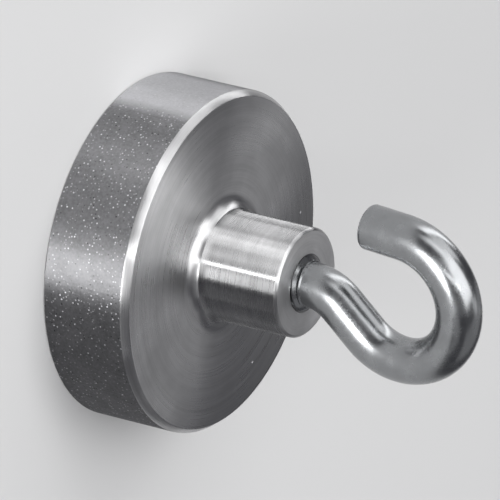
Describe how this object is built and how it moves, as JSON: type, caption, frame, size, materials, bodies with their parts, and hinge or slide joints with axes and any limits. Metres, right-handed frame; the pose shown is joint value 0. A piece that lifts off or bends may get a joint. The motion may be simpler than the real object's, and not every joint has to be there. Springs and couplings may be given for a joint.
{
  "type": "pot magnet with screw hook",
  "caption": "Round steel pot magnet with a threaded boss on its back and an open screw hook bent from wire; it clings to steel and holds a hanging load.",
  "frame": {"origin": "centre of the magnetic holding face, on the axis of pot, boss and screw", "axes": "+Z out of the back of the pot along boss and screw, away from the steel it holds on to; the hook lies in the XZ plane with its mouth towards +X"},
  "size_m": [0.025, 0.025, 0.0283],
  "materials": {
    "turned_steel": "turned faces, fine satin marks; blasted side wall",
    "nickel_plate": "bright nickel plating with fine scuffs",
    "cast_resin": "cast resin, slightly shrunk",
    "zinc_wire": "bright zinc plating over drawn wire"
  },
  "bodies": {
    "root": {"steel_pot": "turned_steel", "magnet_disc": "nickel_plate", "resin_ring": "cast_resin", "screw_hook": "zinc_wire"}
  },
  "joints": []
}
